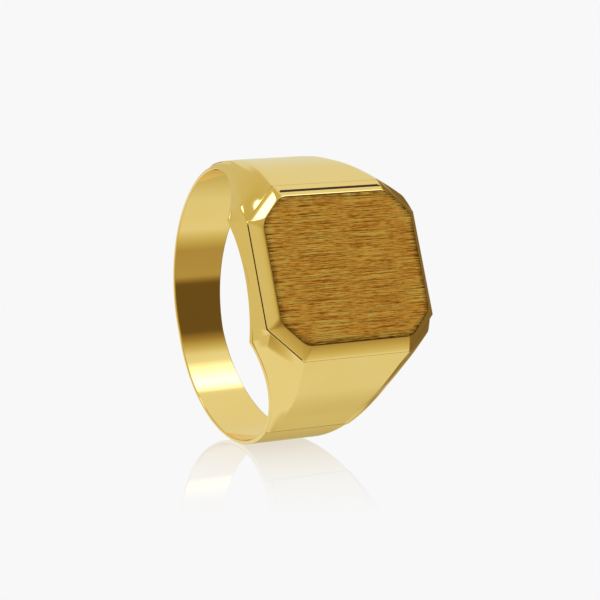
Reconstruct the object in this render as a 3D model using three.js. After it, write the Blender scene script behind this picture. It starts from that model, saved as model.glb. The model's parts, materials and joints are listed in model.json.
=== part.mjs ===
// Gold signet ring with an octagonal head, built up from soldered pieces.
// Millimetres. The origin is the middle of the finger hole, +X runs along the finger, and +Z is up
// as the ring stands on the back of its band, with the head leaning back and facing -Y.
// Each piece is drawn in the head's own frame first: +X along the finger, +Y up the table and
// +Z straight out of it. One group then tips all of them together.
import * as THREE from 'three';

// Finger hole and band
const HOLE_RADIUS = 9.92;
const BAND_THICKNESS = 0.3;
const BAND_RADIUS = HOLE_RADIUS + BAND_THICKNESS;
const BACK_HALF_WIDTH = 1.75;
const HEAD_HALF_WIDTH = 7.4;
const FLARE_ANGLE = 46;
const EDGE_DRAFT = 0.07;
const BAND_STEPS = 120;

// Head
const HEAD_TILT = 19.7;
const HEAD_DROP = 0.1;
const TABLE_HEIGHT = 11.65;
const BEZEL_HEIGHT = 10.81;
const TABLE = { halfWidth: 6.13, halfHeight: 5.29, corner: 1.72 };
const BEZEL = { halfWidth: 6.96, halfHeight: 6.31, corner: 2.52 };
const TABLE_THICKNESS = 0.6;
const LEDGE_WIDTH = 0.7;
const WALL_THICKNESS = 0.9;
const WALL_STEPS = 12;
const FOLD_ANGLE = 26;

// Shoulders. line is the middle of the panel, as height out of the table plane and reach from the
// finger's axis, from the bezel to the step where the shoulder ends on the band. ridge is where the
// corner facet meets the side strip, as angle round the finger and width of the strip, and
// stripSlope is how far the strip leans in over that width.
const UPPER_SHOULDER = {
  up: 1,
  line: [[10.79, 6.21], [8.46, 8.0], [6.3, 9.07], [3.9, 9.95], [1.2, 10.32]],
  ridge: [[19.2, 1.47], [28, 1.3], [38, 1.0], [55, 0.75], [83.4, 0.5]],
  stripSlope: 0.3,
};
const LOWER_SHOULDER = {
  up: -1,
  line: [[10.79, 6.41], [7.42, 8.38], [4.3, 9.45], [2.6, 9.97]],
  ridge: [[21.2, 1.6], [33, 1.1], [43, 0.66], [55, 0.4], [75.4, 0.42]],
  stripSlope: 0.45,
};
const LEDGE_SHARE = 0.002;
const PANEL_END_HALF_WIDTH = 2.98;
const PANEL_END_HEIGHT = 2.3;
const PANEL_TAPER = 1.7;
const SHOULDER_LIP = 0.12;
const SHOULDER_STEPS = 32;
const FACET_STEPS = 4;

const SOLDER_GAP = 0.02;
const GOLD = { color: 0xd6b04a, roughness: 0.12, metalness: 1 };
const BRUSHED_GOLD = { color: 0xa9772b, roughness: 0.42, metalness: 1 };

const radians = THREE.MathUtils.degToRad;
const lerp = THREE.MathUtils.lerp;
const seat = BAND_RADIUS + SOLDER_GAP;

// A point on a circle round the finger's axis, at an angle from the middle of the head.
function around(x, radius, angle) {
  return new THREE.Vector3(x, radius * Math.sin(radians(angle)), radius * Math.cos(radians(angle)));
}

function signedVolume(points, triangles) {
  const side = new THREE.Vector3();
  let volume = 0;
  for (const [a, b, c] of triangles) {
    volume += points[a].dot(side.crossVectors(points[b], points[c])) / 6;
  }
  return volume;
}

// A closed body from its points and triangles, turned so that its faces point out.
function body(points, triangles) {
  const inward = signedVolume(points, triangles) < 0;
  const index = triangles.flatMap(([a, b, c]) => (inward ? [a, c, b] : [a, b, c]));
  const geometry = new THREE.BufferGeometry();
  const positions = points.flatMap((p) => p.toArray());
  geometry.setAttribute('position', new THREE.Float32BufferAttribute(positions, 3));
  geometry.setIndex(index);
  geometry.computeVertexNormals();
  return geometry;
}

// A hoop: the same closed section repeated round a closed loop.
function hoop(sections) {
  const size = sections[0].length;
  const count = sections.length;
  const triangles = [];
  for (let i = 0; i < count; i++) {
    const next = (i + 1) % count;
    for (let j = 0; j < size; j++) {
      const k = (j + 1) % size;
      const corners = [i * size + j, i * size + k, next * size + k, next * size + j];
      triangles.push([corners[0], corners[1], corners[2]], [corners[0], corners[2], corners[3]]);
    }
  }
  return body(sections.flat(), triangles);
}

// A bar: closed sections one after another, with a flat strip across each end. A section is its
// outside points from one edge to the other, then as many inside points on the way back.
function bar(sections) {
  const size = sections[0].length;
  const half = size / 2;
  const last = (sections.length - 1) * size;
  const triangles = [];
  for (let i = 0; i + 1 < sections.length; i++) {
    for (let j = 0; j < size; j++) {
      const k = (j + 1) % size;
      const corners = [i * size + j, i * size + k, (i + 1) * size + k, (i + 1) * size + j];
      triangles.push([corners[0], corners[1], corners[2]], [corners[0], corners[2], corners[3]]);
    }
  }
  for (let j = 0; j + 1 < half; j++) {
    const across = size - 1 - j;
    const start = [j, j + 1, across - 1, across];
    const end = start.map((corner) => last + corner);
    triangles.push([start[0], start[3], start[1]], [start[1], start[3], start[2]]);
    triangles.push([end[0], end[1], end[3]], [end[1], end[2], end[3]]);
  }
  return body(sections.flat(), triangles);
}

// Half the width of the ring at the edge of the finger hole: constant under the head, then
// narrowing quickly behind it and slowly towards the back of the finger.
function rimHalfWidth(angle) {
  const past = Math.max(0, Math.abs(angle) - FOLD_ANGLE);
  return BACK_HALF_WIDTH + (HEAD_HALF_WIDTH - BACK_HALF_WIDTH) * Math.exp(-past / FLARE_ANGLE);
}

// Corners of a head outline, anticlockwise seen from outside, starting high on the right side.
function octagon({ halfWidth, halfHeight, corner }, inset, height) {
  const w = halfWidth - inset;
  const h = halfHeight - inset;
  const c = corner - inset * (2 - Math.SQRT2);
  const upperHalf = [[w, h - c], [w - c, h], [c - w, h], [-w, h - c]];
  const outline = [...upperHalf, ...upperHalf.map(([x, y]) => [-x, -y])];
  return outline.map(([x, y]) => new THREE.Vector3(x, y - HEAD_DROP, height));
}

function fingerBand() {
  const sections = [];
  for (let i = 0; i < BAND_STEPS; i++) {
    const angle = (360 * i) / BAND_STEPS - 180;
    const inner = rimHalfWidth(angle);
    const outer = inner - EDGE_DRAFT;
    sections.push([
      around(-inner, HOLE_RADIUS, angle),
      around(-outer, BAND_RADIUS, angle),
      around(outer, BAND_RADIUS, angle),
      around(inner, HOLE_RADIUS, angle),
    ]);
  }
  return hoop(sections);
}

// The bevelled frame: a sloping face all round, with a ledge inside it that the table lies on.
function bezelFrame() {
  const ledge = TABLE_HEIGHT - TABLE_THICKNESS - SOLDER_GAP;
  const rows = [
    octagon(BEZEL, 0, BEZEL_HEIGHT),
    octagon(TABLE, 0, TABLE_HEIGHT),
    octagon(TABLE, 0, ledge),
    octagon(TABLE, LEDGE_WIDTH, ledge),
    octagon(TABLE, LEDGE_WIDTH, BEZEL_HEIGHT),
  ];
  return hoop(rows[0].map((_, corner) => rows.map((row) => row[corner])));
}

function signetTable() {
  const outline = octagon(TABLE, SOLDER_GAP, 0).map((p) => new THREE.Vector2(p.x, p.y));
  const thickness = { depth: TABLE_THICKNESS, bevelEnabled: false };
  const plate = new THREE.ExtrudeGeometry(new THREE.Shape(outline), thickness);
  return plate.translate(0, 0, TABLE_HEIGHT - TABLE_THICKNESS);
}

// A point straight below an outside point, on the seat that the band gives the head.
function onSeat(point) {
  const scale = seat / Math.hypot(point.y, point.z);
  return new THREE.Vector3(point.x, point.y * scale, point.z * scale);
}

// The same for a point on the outer edge, where the seat is as wide as the band there.
function footOfEdge(point) {
  const foot = onSeat(point);
  const angle = THREE.MathUtils.radToDeg(Math.atan2(point.y, point.z));
  foot.x = Math.sign(point.x) * (rimHalfWidth(angle) - EDGE_DRAFT);
  return foot;
}

// The strip of wall under one side of the bezel, standing on the band and leaning outwards.
function sideWall(side) {
  const reach = BEZEL.halfHeight - BEZEL.corner - SOLDER_GAP;
  const top = BEZEL_HEIGHT - SOLDER_GAP;
  const sections = [];
  for (let i = 0; i <= WALL_STEPS; i++) {
    const y = lerp(-reach, reach, i / WALL_STEPS) - HEAD_DROP;
    const outside = new THREE.Vector3(BEZEL.halfWidth * side, y, top);
    const inside = new THREE.Vector3((BEZEL.halfWidth - WALL_THICKNESS) * side, y, top);
    sections.push([footOfEdge(outside), outside, inside, onSeat(inside)]);
  }
  return bar(sections);
}

// Half the width of the flat panel down the middle of a shoulder, at a height out of the table.
function panelHalfWidth(height) {
  const topHalfWidth = BEZEL.halfWidth - BEZEL.corner;
  const share = Math.max(0, (height - PANEL_END_HEIGHT) / (BEZEL_HEIGHT - PANEL_END_HEIGHT));
  return lerp(PANEL_END_HALF_WIDTH, topHalfWidth, share ** PANEL_TAPER);
}

// One section of a shoulder from its right half: the edge of the middle panel, the ridge where the
// corner facet meets the side strip, and the lip where the side strip meets the band.
function shoulderSection(crease, ridge, lip) {
  const right = [];
  for (let j = 0; j <= FACET_STEPS; j++) {
    right.push(crease.clone().lerp(ridge, j / FACET_STEPS));
  }
  right.push(lip);
  const left = right.map((p) => new THREE.Vector3(-p.x, p.y, p.z)).reverse();
  const outside = [...left, ...right];
  const feet = [footOfEdge(left[0]), ...outside.slice(1, -1).map(onSeat), footOfEdge(lip)];
  return [...outside, ...feet.reverse()];
}

// A shoulder: a panel that runs from the bezel to a step on the band. On each side of it a corner
// facet starts at a ledge under the bezel's cut corner, and a side strip carries on from the side
// wall, narrowing along the finger hole.
function shoulder({ up, line, ridge: ridgeLine, stripSlope }) {
  const middle = new THREE.SplineCurve(line.map(([height, reach]) => new THREE.Vector2(height, reach)));
  const strip = new THREE.SplineCurve(ridgeLine.map(([angle, width]) => new THREE.Vector2(angle, width)));
  const [endHeight, endReach] = line[line.length - 1];
  const endAngle = THREE.MathUtils.radToDeg(Math.atan2(endReach, endHeight));
  const lipRadius = seat + SHOULDER_LIP;
  const corner = new THREE.Vector3(BEZEL.halfWidth, 0, BEZEL_HEIGHT - SOLDER_GAP);
  corner.y = up * (BEZEL.halfHeight - BEZEL.corner) - HEAD_DROP;
  const creaseTop = new THREE.Vector3(panelHalfWidth(line[0][0]), up * line[0][1], line[0][0]);
  const cornerFoot = footOfEdge(corner).multiply(new THREE.Vector3(1, lipRadius / seat, lipRadius / seat));
  const sections = [shoulderSection(creaseTop, corner, cornerFoot)];
  for (let i = 0; i <= SHOULDER_STEPS; i++) {
    const along = i / SHOULDER_STEPS;
    const point = middle.getPointAt(lerp(LEDGE_SHARE, 1, along));
    const crease = new THREE.Vector3(panelHalfWidth(point.x), up * point.y, point.x);
    const { x: ridgeAngle, y: stripWidth } = strip.getPointAt(along);
    const ridgeX = rimHalfWidth(ridgeAngle) - stripSlope * stripWidth;
    const ridge = around(ridgeX, HOLE_RADIUS + stripWidth, up * ridgeAngle);
    const lipAngle = lerp(FOLD_ANGLE, endAngle, along);
    const lip = around(rimHalfWidth(lipAngle) - EDGE_DRAFT, lipRadius, up * lipAngle);
    sections.push(shoulderSection(crease, ridge, lip));
  }
  return bar(sections);
}

function piece(name, geometry, finish) {
  const mesh = new THREE.Mesh(geometry, new THREE.MeshStandardMaterial(finish));
  mesh.name = name;
  return mesh;
}

const ring = new THREE.Group();
ring.rotation.x = radians(90 - HEAD_TILT);
ring.add(
  piece('finger_band', fingerBand(), GOLD),
  piece('upper_shoulder', shoulder(UPPER_SHOULDER), GOLD),
  piece('lower_shoulder', shoulder(LOWER_SHOULDER), GOLD),
  piece('left_side_wall', sideWall(-1), GOLD),
  piece('right_side_wall', sideWall(1), GOLD),
  piece('bezel_frame', bezelFrame(), GOLD),
  piece('signet_table', signetTable(), BRUSHED_GOLD),
);
ring.updateMatrixWorld(true);

export default ring;
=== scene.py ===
import json
import math

import bpy
from mathutils import Matrix, Vector


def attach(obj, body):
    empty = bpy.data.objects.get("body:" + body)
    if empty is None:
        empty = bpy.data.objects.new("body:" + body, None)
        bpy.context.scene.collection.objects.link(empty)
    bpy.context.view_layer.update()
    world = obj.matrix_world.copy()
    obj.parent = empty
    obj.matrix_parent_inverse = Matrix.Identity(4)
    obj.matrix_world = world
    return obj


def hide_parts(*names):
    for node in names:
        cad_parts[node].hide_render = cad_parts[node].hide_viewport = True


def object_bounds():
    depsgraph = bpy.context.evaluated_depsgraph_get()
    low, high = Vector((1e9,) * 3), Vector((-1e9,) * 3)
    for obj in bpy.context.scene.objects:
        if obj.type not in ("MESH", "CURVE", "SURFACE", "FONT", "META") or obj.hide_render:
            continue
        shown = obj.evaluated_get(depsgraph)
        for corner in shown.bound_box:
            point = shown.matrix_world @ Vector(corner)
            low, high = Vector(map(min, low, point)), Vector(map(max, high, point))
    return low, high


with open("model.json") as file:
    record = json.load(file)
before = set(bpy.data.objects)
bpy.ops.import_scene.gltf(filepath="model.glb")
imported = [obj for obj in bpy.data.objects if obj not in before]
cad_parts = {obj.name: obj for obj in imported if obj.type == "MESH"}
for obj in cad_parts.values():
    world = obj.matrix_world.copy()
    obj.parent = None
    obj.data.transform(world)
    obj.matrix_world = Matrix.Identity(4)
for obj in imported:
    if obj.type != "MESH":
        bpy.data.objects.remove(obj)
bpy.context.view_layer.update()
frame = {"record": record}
bpy.ops.object.select_all(action="DESELECT")
scene = bpy.context.scene
scene.view_settings.view_transform = "Standard"


# --- Finger band ------------------------------------------------------------------------------
# A strip of yellow gold, rolled into a hoop, soldered shut and polished inside and out.
# It is widest under the head and tapers towards the back of the finger, and polishing has
# rounded its two rims. Pieces are drawn with the head's own axes in millimetres: X along the
# finger, Y up the table and Z out of it.
HOLE_RADIUS = 9.92
BAND_THICKNESS = 0.296
BACK_HALF_WIDTH = 1.75
HEAD_HALF_WIDTH = 7.399
FOLD_ANGLE = 26
FLARE_ANGLE = 46
EDGE_DRAFT = 0.07
RIM_ROUNDING = 0.11
POLISHED_GOLD_COLOUR = "#ffe19a"
POLISHED_GOLD_TINT = "#fbd98c"
# The dull brown that painted shade darkens the polished gold towards.
PAINTED_SHADE_COLOUR = "#3c2208"


def linear(hex_colour):
    """The linear colour, with alpha, of an sRGB hex value."""
    shares = [int(hex_colour[i : i + 2], 16) / 255 for i in (1, 3, 5)]
    return [s / 12.92 if s <= 0.04045 else ((s + 0.055) / 1.055) ** 2.4 for s in shares] + [1.0]


def add_node(tree, kind, settings=None, **sockets):
    """Adds a node. A socket is given a value, or the output socket that feeds it."""
    node = tree.nodes.new(kind)
    for name, value in (settings or {}).items():
        setattr(node, name, value)
    for name, value in sockets.items():
        socket = node.inputs[int(name[1:]) if name[1:].isdigit() else name.replace("_", " ")]
        if isinstance(value, bpy.types.NodeSocket):
            tree.links.new(value, socket)
        else:
            socket.default_value = value
    return node


def new_material(name):
    """An empty material with its output, and the tree to build it in."""
    material = bpy.data.materials.new(name)
    material.use_nodes = True
    tree = material.node_tree
    tree.nodes.clear()
    return material, tree, tree.nodes.new("ShaderNodeOutputMaterial")


def rim_half_width(angle):
    """Half the ring's width at the edge of the finger hole, at an angle from the head's middle."""
    past = max(0.0, abs(angle) - FOLD_ANGLE)
    return BACK_HALF_WIDTH + (HEAD_HALF_WIDTH - BACK_HALF_WIDTH) * math.exp(-past / FLARE_ANGLE)


def angle_round_finger(point):
    return math.degrees(math.atan2(point.y, point.z))


def around(x, radius, angle):
    return Vector((x, radius * math.sin(math.radians(angle)), radius * math.cos(math.radians(angle))))


signet_face = next(m for m in frame["record"]["mounts"] if m["name"] == "signet_face")
HEAD_TURN = math.atan2(-signet_face["axis"][1], signet_face["axis"][2])


def settle(piece, node, material, smooth_angle):
    """Tips a piece to its place in the ring, in metres, and hands it over with its finish."""
    piece.rotation_euler.x = HEAD_TURN
    piece.scale = (0.001, 0.001, 0.001)
    bpy.ops.object.transform_apply(location=True, rotation=True, scale=True)
    bpy.ops.object.mode_set(mode="EDIT")
    bpy.ops.mesh.select_all(action="SELECT")
    bpy.ops.mesh.normals_make_consistent(inside=False)
    bpy.ops.object.mode_set(mode="OBJECT")
    bpy.ops.object.shade_smooth_by_angle(angle=math.radians(smooth_angle))
    even = piece.modifiers.new("even_faces", "WEIGHTED_NORMAL")
    even.keep_sharp = True
    even.weight = 60
    bpy.ops.object.modifier_apply(modifier=even.name)
    piece.data.materials.clear()
    piece.data.materials.append(material)
    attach(piece, "root")
    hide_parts(node)
    bpy.ops.object.select_all(action="DESELECT")


# Polished yellow gold. The mop leaves a mirror with a very faint haze: hairlines about 0.05 mm
# apart and a slow unevenness a few millimetres across, which soften the edge of a reflection.
# Where a piece carries painted shade, as at the lower shoulder's step, the gold is a dull brown.
polished_gold, tree, output = new_material("polished_yellow_gold")
place = add_node(tree, "ShaderNodeTexCoord").outputs["Object"]
waves = add_node(tree, "ShaderNodeTexNoise", Vector=place, Scale=260.0, Detail=1.0)
hairlines_at = add_node(tree, "ShaderNodeMapping", Vector=place, Scale=(2500.0, 20000.0, 9000.0))
hairlines = add_node(tree, "ShaderNodeTexNoise", Vector=hairlines_at.outputs[0], Scale=1.0, Detail=2.0)
haze = add_node(tree, "ShaderNodeMapRange", Value=hairlines.outputs[0], To_Min=0.045, To_Max=0.11)
tint = add_node(
    tree, "ShaderNodeMix", {"data_type": "RGBA"}, Factor=waves.outputs[0],
    _6=linear(POLISHED_GOLD_COLOUR), _7=linear(POLISHED_GOLD_TINT),
)
# Painted shade: the stored value at each vertex darkens the gold towards a dull brown.
painted_shade = add_node(tree, "ShaderNodeAttribute", {"attribute_name": "painted_shade"}).outputs["Fac"]
shaded = add_node(
    tree, "ShaderNodeMix", {"data_type": "RGBA"}, Factor=painted_shade, _6=tint.outputs[2],
    _7=linear(PAINTED_SHADE_COLOUR),
)
unevenness = add_node(
    tree, "ShaderNodeBump", Strength=0.12, Distance=0.00002, Height=waves.outputs[0],
)
polish = add_node(
    tree, "ShaderNodeBsdfPrincipled", Metallic=1.0, Base_Color=shaded.outputs[2],
    Roughness=haze.outputs[0], Normal=unevenness.outputs[0],
)
tree.links.new(polish.outputs[0], output.inputs[0])

bpy.ops.mesh.primitive_cylinder_add(
    vertices=360, radius=HOLE_RADIUS, depth=2 * HEAD_HALF_WIDTH, end_fill_type="NOTHING",
    rotation=(0, math.radians(90), 0),
)
finger_band = bpy.context.object
finger_band.name = "finger_band_polished"
bpy.ops.object.transform_apply(rotation=True)
wall = finger_band.modifiers.new("strip_thickness", "SOLIDIFY")
wall.thickness = BAND_THICKNESS
wall.offset = 1
bpy.ops.object.modifier_apply(modifier=wall.name)
rims = finger_band.modifiers.new("polished_rims", "BEVEL")
rims.limit_method = "ANGLE"
rims.angle_limit = math.radians(60)
rims.width = RIM_ROUNDING
rims.segments = 5
bpy.ops.object.modifier_apply(modifier=rims.name)
for vertex in finger_band.data.vertices:
    outward = (math.hypot(vertex.co.y, vertex.co.z) - HOLE_RADIUS) / BAND_THICKNESS
    taper = rim_half_width(angle_round_finger(vertex.co)) - HEAD_HALF_WIDTH - EDGE_DRAFT * outward
    vertex.co.x += taper if vertex.co.x > 0 else -taper

settle(finger_band, "finger_band", polished_gold, 50)


# --- Shoulders --------------------------------------------------------------------------------
# Each shoulder is a hollow-backed casting soldered on the band. A flat panel runs down its middle
# from the bezel to a low step, a corner facet starts on each side at a small ledge under the
# bezel's cut corner, and a narrow side strip follows the finger hole. All edges are polished soft.
# A thin dark line of painted shade runs along the lower shoulder's foot, where it meets the band.
SEAT_RADIUS = 10.24
STRIP_BOTTOM_RADIUS = 10.0
BEZEL_BOTTOM = 10.79
BEZEL_SIDE = 6.96
BEZEL_CORNER_UP = 3.79
BEZEL_CORNER_ACROSS = 4.44
HEAD_DROP = 0.1
PANEL_END_HALF_WIDTH = 2.98
PANEL_END_HEIGHT = 2.3
PANEL_TAPER = 1.7
PANEL_COLUMNS = 7
FACET_COLUMNS = 8
STRIP_COLUMNS = 4
ROUNDING_COLUMNS = 4
SHOULDER_ROWS = 64
LEDGE_ROWS = 4
STEP_ROWS = 3
STEP_ROUNDING = 0.24
STEP_SHADE = 0.9
LEDGE_ROUNDING = 0.07
TOP_ROUNDING = 0.03


def mark_painted_shade(piece, amount):
    """Stores the painted shade at each vertex, 0 to 1, from a rule that is given the vertex."""
    marks = piece.data.attributes.new("painted_shade", "FLOAT", "POINT")
    for vertex in piece.data.vertices:
        marks.data[vertex.index].value = amount(vertex)


def smooth_line(knots, count):
    """count + 1 points, evenly spaced along a smooth curve through the knots."""
    padded = [Vector(knots[0]), *map(Vector, knots), Vector(knots[-1])]
    fine = []
    for a, b, c, d in zip(padded, padded[1:], padded[2:], padded[3:]):
        for step in range(40):
            t = step / 40
            pull = (c - a) * (t - 2 * t * t + t**3) / 2 + (d - b) * (t**3 - t * t) / 2
            fine.append(b * (1 - 3 * t * t + 2 * t**3) + c * (3 * t * t - 2 * t**3) + pull)
    fine.append(padded[-1])
    lengths = [0.0]
    for a, b in zip(fine, fine[1:]):
        lengths.append(lengths[-1] + (b - a).length)
    points = []
    i = 0
    for step in range(count + 1):
        reach = lengths[-1] * step / count
        while i + 2 < len(fine) and lengths[i + 1] < reach:
            i += 1
        share = (reach - lengths[i]) / (lengths[i + 1] - lengths[i])
        points.append(fine[i].lerp(fine[i + 1], share))
    return points


def rounded(before, corner, after, reach, count):
    """count + 1 points round a corner, which leave its two sides at most reach from it."""
    start = corner + (before - corner) * min(0.5, reach / max(1e-6, (before - corner).length))
    end = corner + (after - corner) * min(0.5, reach / max(1e-6, (after - corner).length))
    points = []
    for i in range(count + 1):
        t = i / count
        points.append(start * (1 - t) ** 2 + corner * 2 * t * (1 - t) + end * t * t)
    return points


def spread(start, end, count, bulge=0.0):
    """The points between two points, and the last one, on a line or bulging away from the finger."""
    points = []
    for i in range(1, count + 1):
        t = i / count
        point = start.lerp(end, t)
        out = Vector((0, point.y, point.z)).normalized() + Vector((0.6, 0, 0))
        points.append(point + out * bulge * 4 * t * (1 - t))
    return points


def panel_half_width(height):
    share = max(0.0, (height - PANEL_END_HEIGHT) / (BEZEL_BOTTOM + 0.02 - PANEL_END_HEIGHT))
    top = BEZEL_CORNER_ACROSS
    return PANEL_END_HALF_WIDTH + (top - PANEL_END_HALF_WIDTH) * share**PANEL_TAPER


def half_section(crease, ridge, angle, crease_rounding, ridge_rounding, bulge):
    """The right half of a shoulder's section, down to its side strip's foot at the given angle."""
    middle = Vector((0, crease.y, crease.z))
    bottom = around(rim_half_width(angle), STRIP_BOTTOM_RADIUS, angle)
    at_crease = rounded(middle, crease, ridge, crease_rounding, ROUNDING_COLUMNS)
    at_ridge = rounded(crease, ridge, bottom, ridge_rounding, ROUNDING_COLUMNS)
    points = [middle, *spread(middle, at_crease[0], PANEL_COLUMNS), *at_crease[1:]]
    points += spread(at_crease[-1], at_ridge[0], FACET_COLUMNS, bulge)
    return points + at_ridge[1:] + spread(at_ridge[-1], bottom, STRIP_COLUMNS)


def shoulder(
    name, up, middle_line, ridge_line, slope, crease_rounding, ridge_rounding, bulge,
):
    """A shoulder from the middle line of its panel and the ridge above its side strip."""
    corner = Vector((BEZEL_SIDE, up * BEZEL_CORNER_UP - HEAD_DROP, BEZEL_BOTTOM))
    top = Vector((BEZEL_CORNER_ACROSS, up * middle_line[0][1], middle_line[0][0]))
    rows = [half_section(top, corner, angle_round_finger(corner), TOP_ROUNDING, TOP_ROUNDING, 0.0)]
    end_angle = math.degrees(math.atan2(middle_line[-1][1], middle_line[-1][0]))
    for (height, reach), (angle, width) in zip(
        smooth_line(middle_line, SHOULDER_ROWS), smooth_line(ridge_line, SHOULDER_ROWS)
    ):
        along = (len(rows) - 1) / SHOULDER_ROWS
        lip_angle = up * (FOLD_ANGLE + (end_angle - FOLD_ANGLE) * along)
        crease = Vector((panel_half_width(height), up * reach, height))
        ridge = around(rim_half_width(angle) - slope * width, HOLE_RADIUS + width, up * angle)
        share = min(1.0, 0.2 + 6 * along)
        rows.append(half_section(
            crease, ridge, lip_angle, crease_rounding * share, ridge_rounding * share, bulge * share,
        ))
    ledge_edge = [
        rounded(*corners, LEDGE_ROUNDING, LEDGE_ROWS) for corners in zip(rows[0], rows[1], rows[2])
    ]
    rows[1:2] = [list(row) for row in zip(*ledge_edge)]
    last = rows[-1]
    foot = [point * (SEAT_RADIUS - 0.01) / math.hypot(point.y, point.z) for point in last]
    for from_middle, on_band in zip(last, foot):
        on_band.x = min(from_middle.x, rim_half_width(end_angle) - STEP_ROUNDING)
    step_edge = [
        rounded(*corners, STEP_ROUNDING, STEP_ROWS) for corners in zip(rows[-2], last, foot)
    ]
    rows[-1:] = [list(row) for row in zip(*step_edge)] + [foot]
    columns = len(rows[0]) - 1
    bpy.ops.mesh.primitive_grid_add(x_subdivisions=2 * columns, y_subdivisions=len(rows) - 1, size=2)
    piece = bpy.context.object
    piece.name = name
    foot_shade_vertices = set()
    for vertex in piece.data.vertices:
        column = round(vertex.co.x * columns)
        row = round((vertex.co.y + 1) / 2 * (len(rows) - 1))
        point = rows[row][abs(column)]
        vertex.co = (math.copysign(point.x, column), point.y, point.z)
        # Painted shade: the lower shoulder's last rows, round its step down to the foot, are darkened.
        if up < 0 and len(rows) - STEP_ROWS - 2 <= row and abs(column) < columns - STRIP_COLUMNS:
            foot_shade_vertices.add(vertex.index)
    mark_painted_shade(piece, lambda vertex: STEP_SHADE if vertex.index in foot_shade_vertices else 0.0)
    outside = len(piece.data.vertices)
    bpy.ops.object.mode_set(mode="EDIT")
    bpy.ops.mesh.select_all(action="SELECT")
    bpy.ops.mesh.extrude_region()
    bpy.ops.object.mode_set(mode="OBJECT")
    for vertex in piece.data.vertices[outside:]:
        scale = SEAT_RADIUS / math.hypot(vertex.co.y, vertex.co.z)
        widest = rim_half_width(angle_round_finger(vertex.co)) - EDGE_DRAFT
        vertex.co.y *= scale
        vertex.co.z *= scale
        vertex.co.x = max(-widest, min(widest, vertex.co.x))
    settle(piece, name.replace("_polished", ""), polished_gold, 50)


shoulder(
    "upper_shoulder_polished", 1,
    [(10.79, 6.21), (8.46, 8.0), (6.3, 9.07), (3.9, 9.9), (1.2, 10.22)],
    [(19.2, 1.47), (28, 1.3), (38, 1.0), (55, 0.7), (83.4, 0.36)],
    slope=0.3, crease_rounding=0.35, ridge_rounding=0.5, bulge=0.06,
)
shoulder(
    "lower_shoulder_polished", -1,
    [(10.79, 6.41), (7.42, 8.38), (4.3, 9.45), (2.6, 9.97)],
    [(21.2, 1.6), (33, 1.1), (43, 0.66), (55, 0.4), (75.4, 0.42)],
    slope=0.45, crease_rounding=0.16, ridge_rounding=0.14, bulge=0.03,
)


# --- Side walls -------------------------------------------------------------------------------
# A strip of gold closes each side of the head between the bezel and the band. It leans outwards
# a little, is polished flush with the shoulders' side strips, and meets them at a faint fold.
WALL_THICKNESS = 0.9
WALL_ROWS = 40
WALL_COLUMNS = 12

for side, name in ((-1, "left_side_wall"), (1, "right_side_wall")):
    bpy.ops.mesh.primitive_grid_add(x_subdivisions=WALL_COLUMNS, y_subdivisions=WALL_ROWS, size=2)
    side_wall = bpy.context.object
    side_wall.name = name + "_polished"
    for vertex in side_wall.data.vertices:
        down = (vertex.co.x + 1) / 2
        edge = Vector((BEZEL_SIDE, vertex.co.y * BEZEL_CORNER_UP - HEAD_DROP, BEZEL_BOTTOM))
        angle = angle_round_finger(edge)
        rim = around(rim_half_width(angle), STRIP_BOTTOM_RADIUS, angle)
        vertex.co = edge.lerp(rim, down)
        vertex.co.x *= side
    outside = len(side_wall.data.vertices)
    bpy.ops.object.mode_set(mode="EDIT")
    bpy.ops.mesh.select_all(action="SELECT")
    bpy.ops.mesh.extrude_region()
    bpy.ops.object.mode_set(mode="OBJECT")
    for vertex in side_wall.data.vertices[outside:]:
        radius = math.hypot(vertex.co.y, vertex.co.z)
        if radius < SEAT_RADIUS:
            vertex.co.y *= SEAT_RADIUS / radius
            vertex.co.z *= SEAT_RADIUS / radius
        vertex.co.x -= side * WALL_THICKNESS
    settle(side_wall, name, polished_gold, 50)


# --- Bezel frame ------------------------------------------------------------------------------
# A sheet-gold frame with a sloping face all round, sawn and filed to an octagon with four short
# cut corners. It holds the table on a ledge inside. Its slopes are very slightly full and all its
# edges are softened, so that each face carries its own reflection.
TABLE_TOP = 11.65
BEZEL_RISE = 0.84
BEZEL = (6.96, 6.31, 2.52)
TABLE = (6.13, 5.29, 1.72)
LEDGE_WIDTH = 0.7
TABLE_THICKNESS = 0.6
BEZEL_SIDE_DEPTH = 0.15
BEZEL_EDGE = 0.16
BEZEL_INNER_EDGE = 0.12
BEZEL_CROWN = 0.03
BEZEL_ROWS = 12
OUTER_CORNER_ROUNDING = 0.16
CORNER_ROUNDING = 0.55
CORNER_STEPS = 5
SEAM_AND_REFLECTION_COLOUR = "#4a2408"


def head_outline(outline, inset, height, rounding):
    """The head's outline at one height: a rectangle with four cut corners, all eight rounded."""
    half_width, half_height, corner = outline
    w = half_width - inset
    h = half_height - inset
    c = corner - inset * (2 - math.sqrt(2))
    upper = [(w, h - c), (w - c, h), (c - w, h), (-w, h - c)]
    corners = [Vector((x, y - HEAD_DROP, height)) for x, y in upper + [(-x, -y) for x, y in upper]]
    points = []
    for i, corner in enumerate(corners):
        points += rounded(corners[i - 1], corner, corners[(i + 1) % 8], rounding, CORNER_STEPS)
    return points


def bearing(point):
    return math.atan2(point.y + HEAD_DROP, point.x)


def snap_to(plate, points, first=0):
    """Puts a plate's newest vertices on the points of an outline, in order round it."""
    newest = sorted(plate.data.vertices[first:], key=lambda vertex: bearing(vertex.co))
    for vertex, point in zip(newest, sorted(points, key=bearing)):
        vertex.co = point


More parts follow.
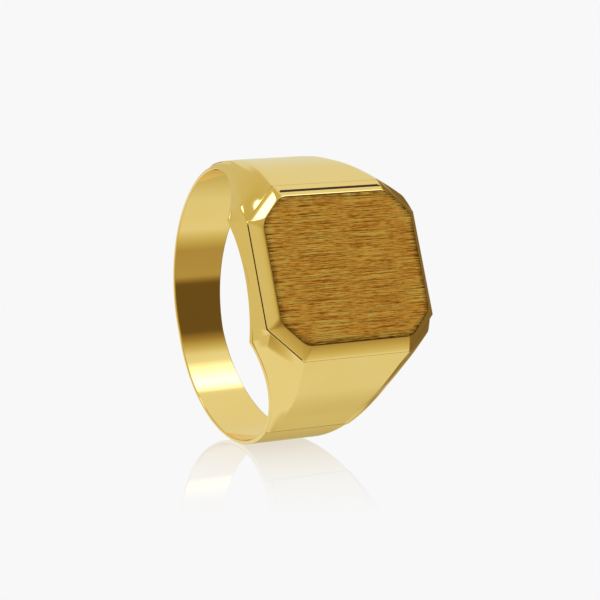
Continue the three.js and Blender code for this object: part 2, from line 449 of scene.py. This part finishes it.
def octagon_plate(name, outline, inset, height, rounding):
    """A flat plate, from a plane with its four corners cut off and all eight corners rounded."""
    bpy.ops.mesh.primitive_plane_add(size=2, location=(0, -HEAD_DROP, height))
    plate = bpy.context.object
    plate.name = name
    plate.scale = (outline[0] - inset, outline[1] - inset, 1)
    bpy.ops.object.transform_apply(location=True, rotation=True, scale=True)
    bpy.ops.object.mode_set(mode="EDIT")
    bpy.ops.mesh.select_all(action="SELECT")
    bpy.ops.mesh.bevel(offset=outline[2], affect="VERTICES", segments=1)
    bpy.ops.mesh.bevel(offset=rounding / 2, affect="VERTICES", segments=CORNER_STEPS)
    bpy.ops.object.mode_set(mode="OBJECT")
    snap_to(plate, head_outline(outline, inset, height, rounding))
    return plate


def raise_rings(plate, rings):
    """Extrudes the plate's face through one outline after another."""
    for points in rings:
        made = len(plate.data.vertices)
        bpy.ops.object.mode_set(mode="EDIT")
        bpy.ops.mesh.extrude_region()
        bpy.ops.object.mode_set(mode="OBJECT")
        snap_to(plate, points, made)


# The slope in section, as the share of the way in to the table and the height over its foot.
foot, outer = Vector((0.0, -BEZEL_SIDE_DEPTH)), Vector((0.0, 0.0))
inner, inside = Vector((1.0, BEZEL_RISE)), Vector((1.0, BEZEL_RISE - TABLE_THICKNESS))
outer_edge = rounded(foot, outer, inner, BEZEL_EDGE, 8)
inner_edge = rounded(outer, inner, inside, BEZEL_INNER_EDGE, 4)
slope = [outer_edge[-1].lerp(inner_edge[0], i / BEZEL_ROWS) for i in range(1, BEZEL_ROWS)]
section = outer_edge + slope + inner_edge
rings = []
for share, rise in section:
    crown = BEZEL_CROWN * max(0.0, 4 * share * (1 - share))
    outline = [b + (t - b) * share for b, t in zip(BEZEL, TABLE)]
    height = TABLE_TOP - BEZEL_RISE + rise + crown * 0.75
    rounding = OUTER_CORNER_ROUNDING + (CORNER_ROUNDING - OUTER_CORNER_ROUNDING) * share
    rings.append(head_outline(outline, -crown * 0.65, height, rounding))
ledge = TABLE_TOP - TABLE_THICKNESS - 0.02
seat = TABLE_TOP - BEZEL_RISE - BEZEL_SIDE_DEPTH
rings.append(head_outline(TABLE, 0.0, ledge, CORNER_ROUNDING))
rings.append(head_outline(TABLE, LEDGE_WIDTH, ledge, CORNER_ROUNDING))
rings.append(head_outline(TABLE, LEDGE_WIDTH, seat, CORNER_ROUNDING))
bezel_frame = octagon_plate("bezel_frame_polished", BEZEL, 0.0, seat, OUTER_CORNER_ROUNDING)
raise_rings(bezel_frame, rings)
for face in bezel_frame.data.polygons:
    face.select = len(face.vertices) > 4
bpy.ops.object.mode_set(mode="EDIT")
bpy.ops.mesh.delete(type="ONLY_FACE")
bpy.ops.mesh.select_mode(type="EDGE")
bpy.ops.mesh.select_non_manifold()
bpy.ops.mesh.bridge_edge_loops()
bpy.ops.object.mode_set(mode="OBJECT")

# Hair-thin dark lines on the frame, a dull brown. Down both sides and round into the lower cuts,
# where the frame meets the side walls, the line is partly that joint and partly a painted dark
# reflection; the line across the upper slope is a painted dark reflection.
SEAM_RISE = 0.05
SEAM_ACROSS = 5.0
SEAM_SPAN = (-5.6, 3.7)
SEAM_REACH = 6.5
TOP_LINE_SHARES = (0.5, 0.66)
TOP_LINE_HALF_LENGTH = 4.15

# A dull brown finish for the side joints and for the painted dark reflections on the frame.
seam_and_reflection_lines, tree, output = new_material("dark_seam_and_painted_reflection")
place = add_node(tree, "ShaderNodeTexCoord").outputs["Object"]
grains = add_node(tree, "ShaderNodeTexNoise", Vector=place, Scale=9000.0)
dull = add_node(tree, "ShaderNodeMapRange", Value=grains.outputs[0], To_Min=0.4, To_Max=0.7)
dark_line_finish = add_node(
    tree, "ShaderNodeBsdfPrincipled", Metallic=0.7, Base_Color=linear(SEAM_AND_REFLECTION_COLOUR),
    Roughness=dull.outputs[0],
)
tree.links.new(dark_line_finish.outputs[0], output.inputs[0])
settle(bezel_frame, "bezel_frame", polished_gold, 40)
bezel_frame.data.materials.append(seam_and_reflection_lines)
head_up = Vector((0, math.cos(HEAD_TURN), math.sin(HEAD_TURN)))
head_out = Vector((0, -math.sin(HEAD_TURN), math.cos(HEAD_TURN)))
for face in bezel_frame.data.polygons:
    x = 1000 * face.center.x
    y = 1000 * face.center.dot(head_up) + HEAD_DROP
    rise = 1000 * face.center.dot(head_out) - (TABLE_TOP - BEZEL_RISE)
    low, high = (share * BEZEL_RISE for share in TOP_LINE_SHARES)
    beside_wall = rise < SEAM_RISE and abs(x) > SEAM_ACROSS and SEAM_SPAN[0] < y < SEAM_SPAN[1]
    outside = math.hypot(x, y) > SEAM_REACH
    along_top = low < rise < high and abs(x) < TOP_LINE_HALF_LENGTH and y > TABLE[1]
    # Painted dark reflection: these faces, along the side joints and across the upper slope, take the
    # dull brown.
    if beside_wall and outside or along_top:
        face.material_index = 1


# --- Signet table -----------------------------------------------------------------------------
# A plain gold plate let into the bezel frame, left blank for engraving. It was drawn over fine
# emery along the finger, which leaves straight lines about 0.1 mm apart that break up every
# reflection. A ragged band of painted shade darkens its edge, where it meets the frame.
TABLE_GAP = 0.02
TABLE_EDGE = 0.09
TABLE_RIM = 0.28
EDGE_SHADE_COLOUR = "#5a2c0c"
EDGE_SHADE = 0.6
BRUSHED_GOLD_COLOUR = "#fff4a8"
BRUSHED_GOLD_MIDDLE = "#ffd06a"
BRUSHED_GOLD_GROOVE = "#bc7830"

brushed_gold, tree, output = new_material("emery_brushed_gold")
place = add_node(tree, "ShaderNodeTexCoord").outputs["Object"]
on_table = add_node(
    tree, "ShaderNodeMapping", {"vector_type": "TEXTURE"}, Vector=place, Rotation=(HEAD_TURN, 0, 0),
)
streaks_at = add_node(
    tree, "ShaderNodeMapping", Vector=on_table.outputs[0], Scale=(1300.0, 12500.0, 1.0),
)
streaks = add_node(
    tree, "ShaderNodeTexNoise", Vector=streaks_at.outputs[0], Scale=1.0, Detail=5.0, Roughness=0.65,
)
scratches_at = add_node(
    tree, "ShaderNodeMapping", Vector=on_table.outputs[0], Scale=(240.0, 21000.0, 1.0),
)
scratches = add_node(
    tree, "ShaderNodeTexNoise", Vector=scratches_at.outputs[0], Scale=1.0, Detail=1.0,
)
lines = add_node(
    tree, "ShaderNodeMath", {"operation": "ADD"}, _0=streaks.outputs[0], _1=scratches.outputs[0],
)
groove = add_node(
    tree, "ShaderNodeMapRange", Value=lines.outputs[0], From_Min=0.83, From_Max=1.17,
)
tint = add_node(tree, "ShaderNodeValToRGB", Fac=groove.outputs[0])
stops = tint.color_ramp.elements
for i, (level, colour) in enumerate(
    ((0.0, BRUSHED_GOLD_GROOVE), (0.5, BRUSHED_GOLD_MIDDLE), (1.0, BRUSHED_GOLD_COLOUR))
):
    stop = stops[i] if i < 2 else stops.new(1.0)
    stop.position = level
    stop.color = linear(colour)
painted_shade = add_node(tree, "ShaderNodeAttribute", {"attribute_name": "painted_shade"}).outputs["Fac"]
# Painted shade: a ragged dark band round the table's edge, broken up by the streaks.
ragged = add_node(tree, "ShaderNodeMapRange", Value=lines.outputs[0], From_Min=1.2, From_Max=0.9)
ragged_edge_shade = add_node(
    tree, "ShaderNodeMath", {"operation": "MULTIPLY", "use_clamp": True}, _0=painted_shade,
    _1=ragged.outputs[0],
)
edge_shade_tint = add_node(
    tree, "ShaderNodeMix", {"data_type": "RGBA"}, Factor=ragged_edge_shade.outputs[0],
    _6=tint.outputs[0], _7=linear(EDGE_SHADE_COLOUR),
)
bump = add_node(tree, "ShaderNodeBump", Strength=0.6, Distance=0.00002, Height=streaks.outputs[0])
brush = add_node(
    tree, "ShaderNodeBsdfPrincipled", Metallic=1.0, Roughness=0.82, Base_Color=edge_shade_tint.outputs[2],
    Normal=bump.outputs[0],
)
tree.links.new(brush.outputs[0], output.inputs[0])

signet_table = octagon_plate("signet_table_brushed", TABLE, TABLE_GAP, TABLE_TOP, CORNER_ROUNDING)
made = len(signet_table.data.vertices)
bpy.ops.object.mode_set(mode="EDIT")
bpy.ops.mesh.select_all(action="SELECT")
bpy.ops.mesh.extrude_region()
bpy.ops.object.mode_set(mode="OBJECT")
snap_to(signet_table, head_outline(TABLE, TABLE_GAP, TABLE_TOP - TABLE_THICKNESS, CORNER_ROUNDING), made)
edge = signet_table.modifiers.new("caught_edge", "BEVEL")
edge.limit_method = "ANGLE"
edge.angle_limit = math.radians(60)
edge.width = TABLE_EDGE
edge.segments = 2
bpy.ops.object.modifier_apply(modifier=edge.name)
for face in signet_table.data.polygons:
    face.select = len(face.vertices) > 8 and face.center.z > TABLE_TOP - 0.01
bpy.ops.object.mode_set(mode="EDIT")
bpy.ops.mesh.select_mode(type="FACE")
bpy.ops.mesh.inset(thickness=TABLE_RIM)
bpy.ops.object.mode_set(mode="OBJECT")


def shade_at_edge(vertex):
    """Painted shade along the edge, all round the table."""
    x, y = abs(vertex.co.x), abs(vertex.co.y + HEAD_DROP)
    to_cut = (TABLE[0] + TABLE[1] - TABLE[2] - x - y) / math.sqrt(2)
    return 0.0 if min(TABLE[0] - x, TABLE[1] - y, to_cut) > TABLE_RIM else EDGE_SHADE


mark_painted_shade(signet_table, shade_at_edge)
settle(signet_table, "signet_table", brushed_gold, 25)


# --- Studio -----------------------------------------------------------------------------------
# A plain pale table top that mirrors faintly near the ring, a tent of broad soft bands of light
# that run along the ring's axis, with one round softbox high on the left, and the camera. The
# tent is warm in its dim parts and white in its bright ones.
FLOOR_COLOUR = "#f8f8f8"
SHEEN = 0.45
SHEEN_END = 0.03
CAMERA_SIDE = math.radians(-32.2)
CAMERA_HEIGHT = math.radians(8.06)
CAMERA_DISTANCE = 0.20475
CAMERA_LENS = 167.28
AIM_RIGHT = 0.002516
AIM_UP = 0.000246

bpy.ops.mesh.primitive_plane_add(size=4, location=(0, 0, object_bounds()[0].z))
floor = bpy.context.object
floor.name = "pale_table_top"
table_top, tree, output = new_material("matt_white_laminate")
seen = add_node(tree, "ShaderNodeLightPath").outputs["Is Camera Ray"]
own = add_node(tree, "ShaderNodeEmission", Color=linear(FLOOR_COLOUR), Strength=1.0)
sheen = add_node(tree, "ShaderNodeBsdfGlossy", Color=(1.0, 1.0, 1.0, 1.0), Roughness=0.0)
clear = tree.nodes.new("ShaderNodeBsdfTransparent")
place = add_node(tree, "ShaderNodeTexCoord").outputs["Object"]
away = add_node(tree, "ShaderNodeVectorMath", {"operation": "LENGTH"}, _0=place)
fading = add_node(
    tree, "ShaderNodeMapRange", Value=away.outputs["Value"], From_Min=SHEEN_END, From_Max=0.0,
    To_Max=math.sqrt(SHEEN),
)
strength = add_node(
    tree, "ShaderNodeMath", {"operation": "MULTIPLY"}, _0=fading.outputs[0], _1=fading.outputs[0],
)
face = add_node(
    tree, "ShaderNodeMixShader", _0=strength.outputs[0], _1=own.outputs[0], _2=sheen.outputs[0],
)
mixed = add_node(tree, "ShaderNodeMixShader", _0=seen, _1=clear.outputs[0], _2=face.outputs[0])
tree.links.new(mixed.outputs[0], output.inputs[0])
floor.data.materials.append(table_top)

world = bpy.data.worlds.new("light_tent")
scene.world = world
world.use_nodes = True
tree = world.node_tree
tree.nodes.clear()
output = tree.nodes.new("ShaderNodeOutputWorld")
facing = add_node(tree, "ShaderNodeTexCoord").outputs["Generated"]
parts = add_node(tree, "ShaderNodeSeparateXYZ", Vector=facing).outputs
forward = add_node(tree, "ShaderNodeMath", {"operation": "MULTIPLY"}, _0=parts[1], _1=-1.0)
turn = add_node(tree, "ShaderNodeMath", {"operation": "ARCTAN2"}, _0=parts[2], _1=forward.outputs[0])


def strips(levels):
    """Strips of light that run along the ring's axis, each at an angle: 0 in front, 90 above."""
    share = add_node(
        tree, "ShaderNodeMapRange", Value=turn.outputs[0], From_Min=-math.pi, From_Max=math.pi,
    )
    ramp = add_node(tree, "ShaderNodeValToRGB", Fac=share.outputs[0])
    stops = ramp.color_ramp.elements
    for i, (angle, level) in enumerate(levels):
        stop = stops[i] if i < 2 else stops.new(1.0)
        stop.position = (angle + 180) / 360
        stop.color = (level, level, level, 1.0)
    return ramp.outputs[0]


def across(start, end, before, after):
    """Goes from one part of the tent to the next as the direction turns towards the right."""
    share = add_node(
        tree, "ShaderNodeMapRange", {"interpolation_type": "SMOOTHSTEP"},
        Value=parts[0], From_Min=start, From_Max=end,
    )
    blend = add_node(tree, "ShaderNodeMix", {"data_type": "RGBA"}, Factor=share.outputs[0])
    for socket, value in ((6, before), (7, after)):
        if isinstance(value, bpy.types.NodeSocket):
            tree.links.new(value, blend.inputs[socket])
        else:
            blend.inputs[socket].default_value = (value, value, value, 1.0)
    return blend.outputs[2]


def card(behind, side, height, size, edge, level):
    """A round card hung in the tent, sized and softened in degrees."""
    az, el = math.radians(side), math.radians(height)
    towards = (math.sin(az) * math.cos(el), -math.cos(az) * math.cos(el), math.sin(el))
    near = add_node(tree, "ShaderNodeVectorMath", {"operation": "DOT_PRODUCT"}, _0=facing, _1=towards)
    share = add_node(
        tree, "ShaderNodeMapRange", {"interpolation_type": "SMOOTHSTEP"}, Value=near.outputs["Value"],
        From_Min=math.cos(math.radians(size + edge)), From_Max=math.cos(math.radians(size)),
    )
    blend = add_node(tree, "ShaderNodeMix", {"data_type": "RGBA"}, Factor=share.outputs[0], _6=behind)
    blend.inputs[7].default_value = (level, level, level, 1.0)
    return blend.outputs[2]


right_bands = strips((
    (-180, 0.7), (-150, 0.5), (-95, 0.75), (-62, 0.78), (-42, 0.42), (-18, 0.45), (-12, 0.13),
    (30, 0.13), (50, 0.8), (72, 0.96), (76, 1.0), (82, 0.96), (90, 0.8), (165, 0.75),
))
left_bands = strips((
    (-180, 0.8), (-80, 0.8), (-20, 0.35), (10, 0.2), (60, 0.55), (150, 0.65),
))
left_part = across(-0.85, -0.6, 0.67, left_bands)
tent = across(0.2, 0.4, left_part, right_bands)
tent = across(0.62, 0.74, tent, 0.2)
tent = card(tent, -112, 73, 6, 4, 1.0)
tone = add_node(tree, "ShaderNodeValToRGB", Fac=tent)
stops = tone.color_ramp.elements
TENT_TONES = (
    (0.0, (0.02, 0.006, 0.0)), (0.35, (0.35, 0.25, 0.09)), (0.6, (0.6, 0.55, 0.27)),
    (0.85, (0.85, 0.9, 0.8)), (1.0, (3.0, 3.0, 3.0)),
)
for i, (level, colour) in enumerate(TENT_TONES):
    stop = stops[i] if i < 2 else stops.new(1.0)
    stop.position = level
    stop.color = (*(c / 3 for c in colour), 1.0)

# The camera, and the sharp reflection in the table top, see a plain backdrop instead of the tent.
path = add_node(tree, "ShaderNodeLightPath").outputs
seen = add_node(
    tree, "ShaderNodeMath", {"operation": "MAXIMUM"}, _0=path["Is Camera Ray"],
    _1=path["Is Singular Ray"],
)
backdrop = add_node(tree, "ShaderNodeBackground", Color=linear(FLOOR_COLOUR), Strength=1.0)
light = add_node(tree, "ShaderNodeBackground", Color=tone.outputs[0], Strength=3.0)
shown = add_node(
    tree, "ShaderNodeMixShader", _0=seen.outputs[0], _1=light.outputs[0], _2=backdrop.outputs[0],
)
tree.links.new(shown.outputs[0], output.inputs[0])

back = Vector((
    math.sin(CAMERA_SIDE) * math.cos(CAMERA_HEIGHT),
    -math.cos(CAMERA_SIDE) * math.cos(CAMERA_HEIGHT),
    math.sin(CAMERA_HEIGHT),
))
right = Vector((math.cos(CAMERA_SIDE), math.sin(CAMERA_SIDE), 0))
up = back.cross(right)
aim = right * AIM_RIGHT + up * AIM_UP - head_up * HEAD_DROP * 0.001
camera = bpy.data.objects.new("camera", bpy.data.cameras.new("camera"))
scene.collection.objects.link(camera)
camera.data.lens = CAMERA_LENS
camera.data.sensor_width = 36
camera.data.clip_start = 0.01
camera.data.clip_end = 20
turned = Matrix((right, up, back)).transposed().to_4x4()
camera.matrix_world = Matrix.Translation(aim + back * CAMERA_DISTANCE) @ turned
scene.camera = camera
